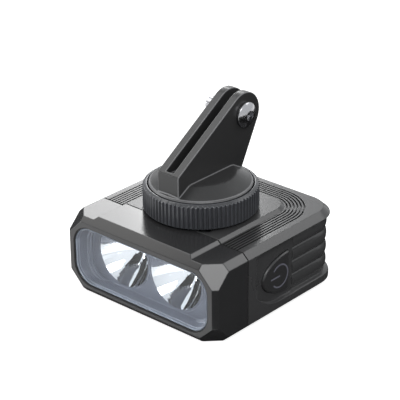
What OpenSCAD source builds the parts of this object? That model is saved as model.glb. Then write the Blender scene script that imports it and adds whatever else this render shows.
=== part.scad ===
// Bike headlight: a two-cup lamp in a chamfered metal housing, hung from a two-prong fork
// that a knurled bayonet ring locks on top. The lamp looks toward -Y, +Z is up,
// and the button is on the +X side. Lengths are millimetres.

/* [Housing] */
// Width of the housing
case_w = 68; // [64:0.5:80]
// Depth of the housing from the front face to the back
case_d = 66.7; // [65:0.1:80]
// Height of the housing at its low side planes
case_h = 28.6; // [28:0.1:36]
// Depth of the front head
head_d = 16.2; // [15.6:0.1:18]
// Thickness of the flat seal between head and rear case
seal_t = 0.3; // [0.2:0.05:0.8]
// How far the seal sits back from the outer surface
seal_inset = 0.5; // [0.3:0.1:0.8]
// Width of the chamfer along the side edges
edge_cut_w = 2.4; // [1:0.1:3]
// Height of the chamfer along the side edges
edge_cut_h = 2.2; // [1:0.1:2.6]
// Chamfer round the front face
face_cut = 1.65; // [0.8:0.05:2]
// Leg of the flat cut across each front corner
corner_cut = 8.8; // [6:0.1:9.2]
// Radius of the rear corners seen from above
rear_corner_r = 11; // [7:0.1:12]
// Thickness of the side and back walls of the rear case
side_wall = 3; // [2.6:0.1:3.6]
// Thickness of the floor and roof of the rear case
floor_wall = 2.2; // [1.8:0.1:2.6]

/* [Platform and grooves] */
// Height of the raised platform above the side planes
platform_rise = 1.1; // [0.4:0.1:2]
// Width of the platform at its foot
platform_w = 44.2; // [36:0.2:45]
// Width of the bevel round the platform
platform_bevel = 1.2; // [0.4:0.1:2]
// Land between the platform and the first groove
groove_land = 0.9; // [0.5:0.1:1.4]
// Number of concentric grooves
groove_n = 6; // [3:1:7]
// Spacing of the grooves
groove_pitch = 1.2; // [0.9:0.05:1.3]
// Width of one groove
groove_w = 0.6; // [0.3:0.05:0.7]
// Depth of one groove
groove_deep = 0.8; // [0.2:0.05:0.9]
// Corner radius of the platform's foot
platform_r = 8.4; // [5:0.1:12]
// Distance from the platform's rear foot to the back of the housing
platform_back = 12; // [11:0.1:16]

/* [Side recess and ribs] */
// Height of the bottom flange's outer face
flange_h = 4.8; // [3.5:0.1:5]
// Height at which the sloped ledge meets the recess floor
ledge_h = 5.1; // [5.1:0.1:7.5]
// Drop from the housing top to the upper flange's lower edge
flange_drop = 2.4; // [2.2:0.1:4]
// Slope of the upper flange's underside, measured down
flange_slope = 0.8; // [0.2:0.1:1.5]
// Depth of the recess round the button
recess_deep = 1.4; // [0.8:0.1:1.6]
// Depth of the valleys between the ribs
valley_deep = 1.7; // [1:0.1:2]
// How far a rib bulges out of its valley
rib_rise = 0.65; // [0.3:0.05:0.9]
// Spacing of the ribs
rib_pitch = 5; // [4:0.1:6]
// Distance from the front face to where the recess is full
recess_y = 26; // [24:0.2:30]
// Radius of the scoop that starts the recess
scoop_r = 14; // [10:0.5:20]
// Radius of the recess's lower front corner
scoop_foot_r = 16; // [12:0.5:18]
// Distance from the front face to the end of that corner
scoop_foot_y = 33; // [30.5:0.1:36]
// Distance from the front face to the start of the ribs
rib_y = 40.7; // [39.4:0.1:46]

/* [Window and optics] */
// Width of the window pocket
window_w = 61.2; // [56:0.1:62]
// Height of the window pocket
window_h = 22.4; // [20:0.1:23]
// Corner radius of the window pocket
window_r = 7.7; // [5:0.1:9]
// Ledge that the hood's lip rests on, all round
window_ledge = 0.4; // [0.3:0.1:0.7]
// Thickness of the window
window_t = 1.2; // [1:0.1:1.5]
// Depth of the window's face behind the front face
window_back = 0.3; // [0.2:0.1:0.6]
// Radial thickness of the window gasket
gasket_t = 0.3; // [0.2:0.05:0.4]
// Depth of the hood, window to reflector rims
hood_d = 4.3; // [3.8:0.1:4.8]
// Thickness of the hood's lip behind the window
hood_lip = 0.8; // [0.6:0.1:1]
// Width of the lip that the window rests on
hood_rim = 0.65; // [0.5:0.05:0.8]
// Inward draft of the hood's side walls
hood_draft = 1.2; // [0.5:0.1:1.6]
// Width of each of the two steps at the foot of the hood
hood_step = 0.8; // [0.4:0.1:1]
// Thickness of the hood's back plate
hood_plate = 1.2; // [0.8:0.1:1.6]
// Radius of each mirror cup at its rim
cup_r = 11.1; // [8.5:0.1:11.1]
// Distance between the axes of the two cups
cup_spacing = 23.8; // [23.8:0.1:24.6]
// Height of the cup axes above the middle of the face
cup_rise = 2.3; // [1.6:0.1:3]
// Depth of each mirror cup
cup_d = 9.4; // [7:0.1:9.6]
// Wall of a mirror cup
cup_wall = 0.5; // [0.4:0.1:0.6]
// Radius of the emitter opening in a cup
cup_hole_r = 2.4; // [2:0.1:3]

/* [Button] */
// Length of the fin-shaped button along the housing
button_l = 14; // [11:0.1:14.2]
// Height of the button
button_h = 14.8; // [12:0.1:15.6]
// Distance from the front face to the button's straight edge
button_y = 38.5; // [37:0.1:38.8]
// How far the button stands proud of the recess floor
button_proud = 0.8; // [0.3:0.1:1]
// Clearance round the button
button_gap = 0.2; // [0.1:0.05:0.3]
// Travel of the button
button_travel = 0.6; // [0.3:0.1:0.7]
// Radius of the sign on the button
symbol_r = 4.1; // [2:0.1:4.2]
// Line width of the sign
symbol_line = 0.55; // [0.3:0.05:0.8]

/* [Charging port] */
// Height of the port above the underside
port_z = 15.4; // [13.5:0.1:16]
// Width of the port opening
port_w = 9.6; // [9.2:0.1:10.5]
// Height of the port opening
port_h = 3.9; // [3.5:0.1:4.4]
// Width of the rubber cover
cover_w = 15; // [13:0.1:18]
// Height of the rubber cover
cover_h = 9.6; // [8:0.1:10.4]
// Thickness of the rubber cover
cover_t = 1.2; // [0.9:0.1:1.5]

/* [Lock ring and boss] */
// Distance from the front face to the ring's axis
ring_y = 31.5; // [31:0.1:34]
// Outer radius of the ring over its knurl
ring_r = 19.9; // [19.4:0.1:21]
// Depth of the knurl
knurl_deep = 0.6; // [0.2:0.05:0.7]
// Number of teeth in the knurl
knurl_n = 80; // [48:4:96]
// Gap between the platform and the underside of the ring
ring_gap = 0.7; // [0.4:0.1:1]
// Thickness of the bayonet lugs
lug_t = 1.2; // [1:0.1:1.6]
// Clearance between the bayonet lugs
lug_gap = 0.2; // [0.1:0.05:0.3]
// Angle that one bayonet lug covers
lug_angle = 50; // [35:1:54]
// Radius of the boss
boss_r = 14.7; // [14:0.1:14.9]
// Wall of the ring round its bore
ring_wall = 1.8; // [1.4:0.1:1.9]
// Thickness of the shelf inside the ring
shelf_t = 1.4; // [1:0.1:2]
// Height of the ring above its shelf
ring_top_h = 3.25; // [2.6:0.05:4]
// Width of the chamfer on top of the ring
ring_cut_w = 1.5; // [0.5:0.1:1.6]
// Height of the chamfer on top of the ring
ring_cut_h = 0.9; // [0.3:0.1:1.4]
// Thickness of the friction washer
washer_t = 0.5; // [0.3:0.1:0.8]
// Thickness of the retainer plate
retainer_t = 1; // [0.8:0.1:1.4]
// Running clearance between turning faces
run_gap = 0.1; // [0.05:0.05:0.2]
// Radius of the centre post that the fork turns on
post_r = 3.5; // [2.5:0.1:4]

/* [Fork and bolt] */
// Clearance between the fork's foot and the ring
foot_gap = 0.25; // [0.15:0.05:0.4]
// Thickness of the fork's foot at its rim
foot_t = 3.75; // [3:0.05:5]
// Rise of the foot's cone
cone_h = 3; // [1.5:0.1:4]
// Radius at the top of the foot's cone
cone_r = 11.5; // [9:0.1:13.5]
// Overall width of the fork across its prongs
fork_w = 9.3; // [8.4:0.1:10]
// Gap between the prongs
fork_gap = 3.3; // [3:0.05:3.6]
// Radius of the prong ends
prong_r = 7.8; // [7:0.1:8.4]
// Distance of the pivot behind the ring's axis
pivot_back = 17.3; // [14:0.1:20]
// Height of the pivot above the rim of the foot
pivot_rise = 19.6; // [17:0.1:26]
// Height of the fork's front block above the rim of the foot
block_h = 7.4; // [6:0.1:9]
// Distance of the front block before the ring's axis
block_front = 16.4; // [15.4:0.1:16.6]
// Radius of the front block's upper edge
block_r = 0.9; // [0.3:0.1:1.5]
// Thickness of the front block before the slot
slot_wall = 1; // [0.8:0.1:2]
// Distance of the fork's back foot behind the ring's axis
back_foot = 15.9; // [13.6:0.1:16.2]
// Depth of the slot floor below the front block's top
slot_deep = 1; // [0.6:0.1:2]
// Radius of the pivot bolt
bolt_r = 2.5; // [2:0.05:3]
// Length of the pivot bolt under its head
bolt_l = 16; // [14:0.5:25]
// Radius of the bolt's head
bolt_head_r = 4.5; // [4.2:0.05:5.5]
// Height of the bolt's head
bolt_head_h = 2.7; // [2.2:0.1:3.4]
// Clearance round the bolt in the prongs
bolt_gap = 0.1; // [0.05:0.01:0.12]

/* [Inside] */
// Thickness of the emitter board and the driver board
board_t = 1.2; // [0.8:0.1:1.6]
// Thickness of the heat spreader
spreader_t = 5; // [4:0.1:6]
// Thickness of the thermal pad
pad_t = 0.3; // [0.2:0.05:0.5]
// Distance of the corner screws from the edges of the optics
post_in = 4.2; // [4:0.1:4.6]
// Space between the driver board and the battery
battery_front_gap = 4; // [3.4:0.1:6]
// Space between the battery and the port board
battery_back_gap = 2.1; // [1.6:0.1:8]
// Space between the battery and the switch board
battery_side_gap = 2.6; // [1:0.1:8]
// Space between the battery and the roof, for the flat lead
battery_top_gap = 3.4; // [1.6:0.1:6]
// Thickness of the foam strips under the battery
foam_t = 1.6; // [1:0.1:2]
// Shank radius of the small screws
screw_r = 1.2; // [0.9:0.05:1.3]

/* [Hidden] */
$fn = 48;

small = 0.01;
reach = 20;
snug = 0.1;

half_w = case_w / 2;
face_z = case_h / 2;
platform_z = case_h + platform_rise;
rear_y0 = head_d + seal_t;
cavity_half = half_w - side_wall;
cavity_y1 = case_d - side_wall;
cavity_r = rear_corner_r - side_wall + 0.5;
cavity_z1 = case_h - floor_wall;
recess_top = case_h - flange_drop;
usb_board_w = 16;
usb_board_d = 8;
usb_board_y0 = cavity_y1 - usb_board_d;
switch_board_w = 9.2;
switch_board_h = 20;
switch_w = 6;

optic_w = window_w - 2 * window_ledge;
optic_h = window_h - 2 * window_ledge;
optic_r = window_r - window_ledge;
tongue_side = 0.7;
tongue_wall = 1.2;
tongue_w = 2 * (cavity_half - snug - tongue_side);
tongue_h = case_h - 2 * (floor_wall + snug + tongue_wall);
hood_y0 = window_back + window_t + snug;
pocket_y = hood_y0 + hood_lip + snug;
rim_y = hood_y0 + hood_d;
cup_z = face_z + cup_rise;
cup_top = face_z + optic_h / 2 - 1.3;
board_y = rim_y + cup_d + snug;
pad_y = board_y + board_t;
spreader_y = pad_y + pad_t;
spigot_y = spreader_y + spreader_t - 0.8;
case_screw_y = spreader_y + spreader_t / 2;
driver_y = spreader_y + spreader_t + 2;
driver_w = 52;
driver_part_h = 3;
battery_y = driver_y + board_t + battery_front_gap;
battery_d = usb_board_y0 - battery_back_gap - battery_y;
battery_z = floor_wall + foam_t;
battery_h = cavity_z1 - battery_top_gap - battery_z;
battery_x0 = -cavity_half + 1.5;
wire_x = 2;
wire_z = face_z + tongue_h / 2 - 4.8;
wire_r = 0.6;
port_y1 = case_d - valley_deep;
usb_z = port_z - port_h / 2 + 0.3;

button_floor = half_w - recess_deep;
button_face = button_floor + button_proud;
button_z = 14.2;
button_rim = 0.5;
flange_x = cavity_half - snug - 0.4;
flange_t = 0.8;
stem_y = button_y - button_l / 2 + 0.3;
stem_x = flange_x - flange_t - 1.7;
plunger_h = 1.2;
switch_x = stem_x - plunger_h + 0.2;
switch_t = 1.7;
switch_board_x = switch_x - switch_t - board_t;
battery_w = switch_board_x - battery_side_gap - battery_x0;

ring_z0 = platform_z + ring_gap;
lug_z = ring_z0 + lug_t + lug_gap;
boss_top = lug_z + lug_t;
ring_bore_r = ring_r - ring_wall;
boss_lug_r = ring_bore_r - 0.4;
ring_lug_r = boss_r + 0.5;
retainer_z = boss_top + washer_t;
shelf_z = retainer_z + retainer_t + run_gap;
foot_z = shelf_z + shelf_t + run_gap;
foot_r = ring_bore_r - foot_gap;
foot_top = foot_z + foot_t;
hub_r = 13;
ring_top = shelf_z + shelf_t + ring_top_h;

pivot_y = ring_y + pivot_back;
pivot_z = foot_top + pivot_rise;
block_y = ring_y - block_front;
block_z = foot_top + block_h;
slot_z = block_z - slot_deep;

hole_r = screw_r + 0.05;
screw_head_r = 2 * screw_r;
screw_head_h = screw_r;
screw_sunk = 0.1;
case_screw_l = 7.5;

thread_r = bolt_r - 0.05;
bolt_shank = fork_w + 0.5;
bolt_neck = 1;
bolt_neck_r = bolt_r - 0.4;
bolt_tip = 0.4;

dark_metal = [0.16, 0.16, 0.17];
rear_metal = [0.2, 0.2, 0.21];

// Shapes shared by several pieces

// Puts children, drawn in X and Z, between two depths
module along_y(y0, y1) {
    translate([0, y1, 0]) rotate([90, 0, 0]) linear_extrude(y1 - y0) children();
}

// Puts children, drawn in Y and Z, between two side positions
module along_x(x0, x1) {
    translate([x0, 0, 0]) rotate([90, 0, 90]) linear_extrude(x1 - x0) children();
}

// Rounded rectangle about the middle of the front face
module face_outline(w, h, r) {
    translate([0, face_z]) {
        square([w - 2 * r, h], center = true);
        square([w, h - 2 * r], center = true);
        for (sx = [-1, 1], sz = [-1, 1])
            translate([sx * (w / 2 - r), sz * (h / 2 - r)]) circle(r);
    }
}

// Straight front edge and two round rear corners, seen from above
module deck_outline(half, rear, r, start) {
    translate([-half, start]) square([2 * half, rear - r - start]);
    translate([r - half, start]) square([2 * (half - r), rear - start]);
    for (sx = [-1, 1])
        translate([sx * (half - r), rear - r]) circle(r);
}

// Runs a profile down both sides and round the back; the profile's first axis points outward
module run_sides(half, rear, r, start, end) {
    for (flip = [0, 1]) mirror([flip, 0, 0])
        translate([half, end, 0]) rotate([90, 0, 0]) linear_extrude(end - start) children();
}

module run_back(half, rear, r) {
    for (flip = [0, 1]) mirror([flip, 0, 0])
        translate([half - r, rear - r, 0]) rotate_extrude(angle = 90) translate([r, 0]) children();
    translate([0, rear, 0]) along_x(r - half, half - r) children();
}

module run_round(half, rear, r, start) {
    run_sides(half, rear, r, start, rear - r) children();
    run_back(half, rear, r) children();
}

// Housing section with its four long chamfers
module section_outline(inset = 0) {
    w = half_w - inset;
    polygon([[edge_cut_w - w, inset], [w - edge_cut_w, inset], [w, inset + edge_cut_h],
        [w, case_h - inset - edge_cut_h], [w - edge_cut_w, case_h - inset],
        [edge_cut_w - w, case_h - inset], [-w, case_h - inset - edge_cut_h],
        [-w, inset + edge_cut_h]]);
}

module platform_section(inset = 0) {
    foot = platform_w / 2 - inset;
    polygon([[-foot, face_z], [foot, face_z], [foot, case_h - inset],
        [foot - platform_bevel, platform_z - inset], [platform_bevel - foot, platform_z - inset],
        [-foot, case_h - inset]]);
}

// Countersunk screw pointing down, its head's top at z = 0
module countersunk(length) {
    difference() {
        union() {
            translate([0, 0, -length]) cylinder(r = screw_r, h = length);
            translate([0, 0, -screw_head_h]) cylinder(r1 = screw_r, r2 = screw_head_r, h = screw_head_h);
        }
        translate([0, 0, -0.6 * screw_head_h]) cylinder(r = 0.55 * screw_r, h = reach, $fn = 6);
    }
}

// The hole that such a screw needs in the outer piece, open to the top
module countersink(length) {
    translate([0, 0, -length]) cylinder(r = screw_r + snug, h = length + small);
    translate([0, 0, -screw_head_h - snug])
        cylinder(r1 = screw_r + snug, r2 = screw_head_r + 3 * snug, h = screw_head_h + 2 * snug);
}

// Front head: face, aperture and the tongue that slides into the rear case

module front_chamfers() {
    tall = platform_z;
    deep = spigot_y + 1;
    translate([-half_w, 0, 0]) rotate([90, 0, 90]) linear_extrude(case_w)
        polygon([[0, face_cut], [face_cut, 0], [deep, 0], [deep, tall],
            [face_cut + platform_rise, tall], [0, case_h - face_cut]]);
}

module front_plan() {
    linear_extrude(platform_z)
        polygon([[face_cut - half_w, 0], [half_w - face_cut, 0], [half_w, face_cut],
            [half_w, spigot_y + 1], [-half_w, spigot_y + 1], [-half_w, face_cut]]);
}

// Flat cut across one front corner, square to the corner's diagonal
module corner_slice(sx, sz) {
    big = 2 * corner_cut;
    translate([sx * half_w, 0, sz > 0 ? case_h : 0])
        rotate([0, acos(sz / sqrt(3)), atan2(-1, sx)])
            translate([-big, -big, -corner_cut / sqrt(3)]) cube(2 * big);
}

module spigot() {
    along_y(head_d - 1, spigot_y) difference() {
        translate([0, face_z]) square([2 * (cavity_half - snug), case_h - 2 * (floor_wall + snug)],
            center = true);
        face_outline(tongue_w, tongue_h, optic_r);
    }
}

module front_head() color(dark_metal) difference() {
    union() {
        intersection() {
            union() {
                along_y(0, head_d) section_outline();
                along_y(0, head_d) platform_section();
            }
            front_chamfers();
            front_plan();
        }
        spigot();
    }
    for (sx = [-1, 1], sz = [-1, 1]) corner_slice(sx, sz);
    along_y(-1, pocket_y) face_outline(window_w, window_h, window_r);
    difference() {
        union() {
            along_y(-1, board_y) face_outline(optic_w, optic_h, optic_r);
            along_y(board_y - snug, spigot_y + 1) face_outline(tongue_w, tongue_h, optic_r);
        }
        head_posts();
    }
    spreader_places() translate([0, 0, -small])
        cylinder(r = hole_r, h = spreader_y - board_y + 2.5);
    case_screw_places() countersink(case_h);
}

// Four corner posts that the heat spreader is screwed to
post_x = tongue_w / 2 - post_in;
post_z = tongue_h / 2 - post_in;
post_side = 8.4;

module head_posts() {
    for (sx = [-1, 1], sz = [-1, 1])
        intersection() {
            along_y(rim_y + hood_plate + snug, spreader_y)
                translate([sx * (post_x + 2), face_z + sz * (post_z + 2)])
                    square(post_side, center = true);
            along_y(0, spreader_y) face_outline(optic_w + 1, optic_h + 1, optic_r);
        }
}

// Puts children at the four spreader screws, pointing to the front
module spreader_places() {
    for (sx = [-1, 1], sz = [-1, 1])
        translate([sx * post_x, spreader_y, face_z + sz * post_z]) rotate([90, 0, 0]) children();
}

// Puts children at the four screws that hold the shells together, two above and two below
case_screw_x = 12.5;

module case_screw_places() {
    for (sx = [-1, 1]) {
        translate([sx * case_screw_x, case_screw_y, platform_z]) children();
        translate([sx * case_screw_x, case_screw_y, 0]) rotate([180, 0, 0]) children();
    }
}

module front_window() color([0.85, 0.9, 0.95, 0.35])
    along_y(window_back, window_back + window_t)
        face_outline(window_w - 2 * gasket_t - snug, window_h - 2 * gasket_t - snug, window_r - gasket_t);

module window_gasket() color([0.05, 0.05, 0.05])
    along_y(window_back - 0.05, window_back + window_t) difference() {
        face_outline(window_w - snug / 2, window_h - snug / 2, window_r);
        face_outline(window_w - 2 * gasket_t, window_h - 2 * gasket_t, window_r - gasket_t);
    }

// Outline inside the window pocket, smaller by these amounts at the sides and above and below
module inner_outline(side, top) {
    face_outline(window_w - 2 * side, window_h - 2 * top, window_r - top);
}

// Hood: a lip under the window, drafted walls and two steps round the cup openings
module reflector_hood() color([0.42, 0.45, 0.5]) difference() {
    mouth = snug + hood_rim;
    throat = mouth + 0.35;
    foot_side = throat + hood_draft;
    foot_top = throat + 0.3;
    step_h = 0.6;
    union() {
        along_y(hood_y0, hood_y0 + hood_lip) inner_outline(snug, snug);
        along_y(hood_y0 + small, rim_y + hood_plate)
            inner_outline(window_ledge + snug, window_ledge + snug);
    }
    along_y(hood_y0 - 1, hood_y0 + hood_lip / 2) inner_outline(mouth, mouth);
    hull() {
        along_y(hood_y0 + hood_lip / 2 - small, hood_y0 + hood_lip / 2)
            inner_outline(throat, throat, $fn = 32);
        along_y(rim_y - 2 * step_h, rim_y - 2 * step_h + small)
            inner_outline(foot_side, foot_top, $fn = 32);
    }
    for (i = [1, 2]) along_y(rim_y - 2 * step_h, rim_y - (2 - i) * step_h)
        inner_outline(foot_side + i * hood_step, foot_top);
    for (sx = [-1, 1]) cup_opening(sx, cup_wall + snug);
}

// The round opening for one cup, flat where the hood's roof cuts it
module cup_opening(sx, grow) {
    intersection() {
        along_y(rim_y - 1, rim_y + hood_plate + 1)
            translate([sx * cup_spacing / 2, cup_z]) circle(cup_r + grow, $fn = 96);
        translate([-half_w, 0, 0]) cube([case_w, case_d, cup_top + grow]);
    }
}

// Mirror cup: a parabola turned about the beam axis
function cup_curve(h) = sqrt(cup_hole_r * cup_hole_r
    + (cup_r * cup_r - cup_hole_r * cup_hole_r) * h / cup_d);

module mirror_cup(sx) {
    steps = 12;
    inner = [for (i = [0:steps]) [cup_curve(i * cup_d / steps), i * cup_d / steps]];
    outer = [for (i = [steps:-1:0]) [cup_curve(i * cup_d / steps) + cup_wall, i * cup_d / steps]];
    intersection() {
        translate([sx * cup_spacing / 2, rim_y + cup_d, cup_z]) rotate([90, 0, 0])
            rotate_extrude($fn = 96) polygon(concat(inner, outer));
        translate([-half_w, 0, 0]) cube([case_w, case_d, cup_top]);
    }
}

module reflector_left() color([0.9, 0.9, 0.92]) mirror_cup(-1);
module reflector_right() color([0.9, 0.9, 0.92]) mirror_cup(1);

module led_emitters() color([0.95, 0.85, 0.4]) for (sx = [-1, 1])
    translate([sx * cup_spacing / 2, board_y, cup_z]) rotate([90, 0, 0]) {
        translate([-1.6, -1.6, 0]) cube([3.2, 3.2, 0.6]);
        translate([0, 0, 0.6]) intersection() {
            sphere(1.3);
            cylinder(r = 2, h = 2);
        }
    }

board_w = optic_w - 2 * 7.4;

module led_board() color([0.85, 0.85, 0.82]) difference() {
    along_y(board_y, board_y + board_t) translate([0, face_z])
        square([board_w, tongue_h - 1], center = true);
    for (sx = [-1, 1]) along_y(0, case_d)
        translate([sx * wire_x, wire_z]) circle(wire_r + 0.3);
}

module thermal_pad() color([0.5, 0.6, 0.75])
    along_y(pad_y, pad_y + pad_t) translate([0, face_z]) difference() {
        square([board_w - 2, tongue_h - 3], center = true);
        translate([0, wire_z - face_z]) square([2 * wire_x + 3, 4], center = true);
    }

module heat_spreader() color([0.75, 0.76, 0.78]) difference() {
    union() {
        along_y(spreader_y, spreader_y + spreader_t)
            face_outline(tongue_w - 2 * snug, tongue_h - 2 * snug, optic_r - snug);
        driver_posts() circle(1.6);
    }
    spreader_places() translate([0, 0, -reach]) cylinder(r = hole_r, h = 2 * reach);
    spreader_places() translate([0, 0, -reach - spreader_t + 1.6]) cylinder(r = 2.3, h = reach);
    case_screw_places() translate([0, 0, -2 * reach]) cylinder(r = hole_r, h = 2 * reach);
    for (sx = [-1, 1]) along_y(0, case_d)
        translate([sx * wire_x, wire_z]) circle(wire_r + 0.4);
    for (i = [-2:2]) translate([6.5 * i - 0.8, spreader_y + spreader_t - 1.4, 8])
        cube([1.6, 3, case_h - 16]);
}

module driver_posts() {
    for (sx = [-1, 1]) along_y(spreader_y + spreader_t - small, driver_y)
        translate([sx * (optic_w / 2 - 8), face_z]) children();
}

// Pan-head screws from the back of the spreader into the corner posts
module spreader_screws() color([0.7, 0.7, 0.72]) spreader_places()
    translate([0, 0, -spreader_t + 1.6]) difference() {
        union() {
            cylinder(r = screw_r, h = spreader_t - 1.6 + 2.2);
            translate([0, 0, -1.4]) cylinder(r = 2.1, h = 1.4);
        }
        translate([0, 0, -1.5]) cylinder(r = 0.7, h = 1, $fn = 6);
    }

module head_seal() color([0.04, 0.04, 0.04]) difference() {
    along_y(head_d, rear_y0) union() {
        section_outline(seal_inset);
        platform_section(seal_inset);
    }
    along_y(0, case_d) translate([0, face_z])
        square([2 * cavity_half, case_h - 2 * floor_wall], center = true);
}

// Rear case: platform, grooves, flanges, ribs and the openings for button and port

module case_block() {
    linear_extrude(case_h) deck_outline(half_w, case_d, rear_corner_r, rear_y0);
    difference() {
        linear_extrude(platform_z)
            deck_outline(platform_w / 2, case_d - platform_back, platform_r, rear_y0);
        run_round(platform_w / 2, case_d - platform_back, platform_r, rear_y0 - 1)
            polygon([[-platform_bevel, platform_z], [0, case_h], [1, case_h], [1, platform_z + 1],
                [-platform_bevel, platform_z + 1]]);
    }
}

module edge_chamfer_profile() {
    polygon([[-edge_cut_w, case_h], [0, case_h - edge_cut_h], [1, case_h - edge_cut_h],
        [1, case_h + 1], [-edge_cut_w, case_h + 1]]);
    polygon([[-edge_cut_w, 0], [0, edge_cut_h], [1, edge_cut_h], [1, -1], [-edge_cut_w, -1]]);
}

// What is cut from the side: a sloped ledge below, a flat floor and a sloped flange above
module recess_profile(deep) {
    polygon([[-deep, ledge_h], [0, flange_h], [3, flange_h], [3, recess_top],
        [0, recess_top], [-deep, recess_top - flange_slope]]);
}

rib_r = (rib_pitch * rib_pitch / 4 + rib_rise * rib_rise) / (2 * rib_rise);

module ribbed_profile() {
    difference() {
        recess_profile(valley_deep);
        for (i = [0:3])
            translate([rib_rise - valley_deep - rib_r, ledge_h + (i + 0.7) * rib_pitch])
                circle(rib_r, $fn = 96);
    }
}

// The scoop that brings the recess in gently behind the parting line, up to the end of its
// lower front corner
module recess_scoop() {
    for (flip = [0, 1]) mirror([flip, 0, 0]) intersection() {
        union() {
            translate([half_w - recess_deep + scoop_r, recess_y, 0]) rotate([0, 0, 180])
                rotate_extrude(angle = 32) translate([scoop_r - recess_deep, 0]) mirror([1, 0])
                    scoop_profile();
            translate([half_w, scoop_foot_y, 0]) rotate([90, 0, 0])
                linear_extrude(scoop_foot_y - recess_y) scoop_profile();
        }
        scoop_corner();
    }
}

module scoop_profile() {
    polygon([[-recess_deep, -1], [3, -1], [3, recess_top], [0, recess_top],
        [-recess_deep, recess_top - flange_slope]]);
}

// Cone that carries the slope of the ledge round the recess's lower front corner
module scoop_corner() {
    slope = (ledge_h - flange_h) / recess_deep;
    x0 = half_w - recess_deep - 1;
    translate([x0, scoop_foot_y, ledge_h + scoop_foot_r]) {
        rotate([0, 90, 0]) cylinder(r1 = scoop_foot_r - slope, $fn = 96,
            r2 = scoop_foot_r + slope * (recess_deep + 1), h = recess_deep + 2);
        translate([0, -reach, 0]) cube([recess_deep + 2, reach + 1, reach]);
    }
}

module grooves() {
    for (i = [0:groove_n - 1]) {
        out = groove_land + i * groove_pitch;
        run_round(platform_w / 2 + out, case_d - platform_back + out, platform_r + out, rear_y0 - 1)
            translate([-groove_w / 2, case_h - groove_deep]) square([groove_w, 1]);
    }
}

module button_outline(grow) {
    n = 24;
    polygon([for (i = [0:n]) let (a = 90 + 180 * i / n)
        [button_y + grow + (button_l + 2 * grow) * cos(a), button_z + (button_h / 2 + grow) * sin(a)]]);
}

module port_outline(w, h) {
    r = h / 2;
    translate([0, port_z]) {
        square([w - 2 * r, h], center = true);
        for (sx = [-1, 1]) translate([sx * (w / 2 - r), 0]) circle(r);
    }
}

usb_post_x = 6;
usb_post_y = cavity_y1 - 4;

module rear_case() color(rear_metal) difference() {
    union() {
        difference() {
            case_block();
            run_round(half_w, case_d, rear_corner_r, rear_y0 - 1) edge_chamfer_profile();
            recess_scoop();
            run_sides(half_w, case_d, rear_corner_r, scoop_foot_y, rib_y)
                recess_profile(recess_deep);
            run_sides(half_w, case_d, rear_corner_r, rib_y - small, case_d - rear_corner_r)
                ribbed_profile();
            run_back(half_w, case_d, rear_corner_r) ribbed_profile();
            port_pad();
            grooves();
            translate([0, 0, floor_wall]) linear_extrude(case_h - 2 * floor_wall)
                deck_outline(cavity_half, cavity_y1, cavity_r, rear_y0 - 1);
        }
        usb_posts();
    }
    along_x(0, half_w + 1) button_outline(0);
    along_y(cavity_y1 - 1, case_d + 1) port_outline(port_w, port_h);
    along_y(cavity_y1 - 1, case_d + 1) translate([0, strap_hole_z]) circle(strap_stud_r + snug);
    case_screw_places() countersink(floor_wall + platform_rise + 1);
    boss_screw_places() cylinder(r = hole_r, h = reach);
}

// Flat land in the back ribs for the port cover and its strap
module port_pad() {
    pad_h = cover_h + 5.4;
    translate([-cover_w / 2 - 1.2, port_y1, port_z + cover_h / 2 + 1.2 - pad_h])
        cube([cover_w + 2.4, 5, pad_h]);
}

module usb_posts() {
    for (sx = [-1, 1]) translate([sx * usb_post_x, usb_post_y, floor_wall - small])
        cylinder(r = 1.6, h = usb_z - board_t - floor_wall + small);
}

module case_screws() color([0.25, 0.25, 0.26]) case_screw_places()
    translate([0, 0, -screw_sunk]) countersunk(case_screw_l);

// Driver board with its coil, capacitors, chips and connector
module driver_board() color([0.1, 0.35, 0.2]) {
    along_y(driver_y, driver_y + board_t) translate([0, face_z])
        square([driver_w, tongue_h - 2 * snug], center = true);
    part_y = driver_y + board_t - small;
    coil_r = 4;
    can_r = 2.6;
    chip = 5;
    along_y(part_y, part_y + driver_part_h - 0.2) translate([-12, face_z - 3]) circle(coil_r);
    for (x = [-2, 4.4]) along_y(part_y, part_y + driver_part_h)
        translate([x, face_z - 4]) circle(can_r);
    along_y(part_y, part_y + 1) translate([10, face_z - 6.4]) square(chip);
    along_y(part_y, part_y + 1) translate([plug_x, face_z - 8]) square([4, 6]);
    along_y(part_y, part_y + plug_h) translate([plug_x, face_z + 3.4]) square([7, 4]);
}

// Plug of the battery wires on the driver board
plug_x = -22;
plug_h = 2.4;

module led_wires() color([0.8, 0.1, 0.1]) for (sx = [-1, 1])
    along_y(pad_y - 0.6, driver_y) translate([sx * wire_x, wire_z]) circle(wire_r);

// Two flat cells in one wrap, with the protection strip on the front edge
module battery_pack() color([0.3, 0.45, 0.7]) {
    cell_h = battery_h / 2;
    for (i = [0, 1]) along_y(battery_y + 2, battery_y + battery_d)
        translate([battery_x0 + battery_w / 2, battery_z + (i + 0.5) * cell_h]) {
            square([battery_w, cell_h - 3], center = true);
            square([battery_w - 3, cell_h], center = true);
            for (sx = [-1, 1], sz = [-1, 1])
                translate([sx * (battery_w / 2 - 1.5), sz * (cell_h / 2 - 1.5)]) circle(1.5);
        }
    along_y(battery_y, battery_y + 2 + small)
        translate([battery_x0 + 3, battery_z + 2]) square([battery_w - 6, battery_h - 4]);
}

module battery_foam() color([0.15, 0.15, 0.15]) for (x = [0.16, 0.7])
    translate([battery_x0 + x * battery_w, battery_y + 3, floor_wall])
        cube([8, battery_d - 5, foam_t]);

module battery_wires() color([0.1, 0.1, 0.1]) for (i = [0, 1])
    along_y(driver_y + board_t + plug_h - small, battery_y)
        translate([plug_x + 1.6 + 3 * i, face_z + 5.4]) circle(wire_r);

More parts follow.
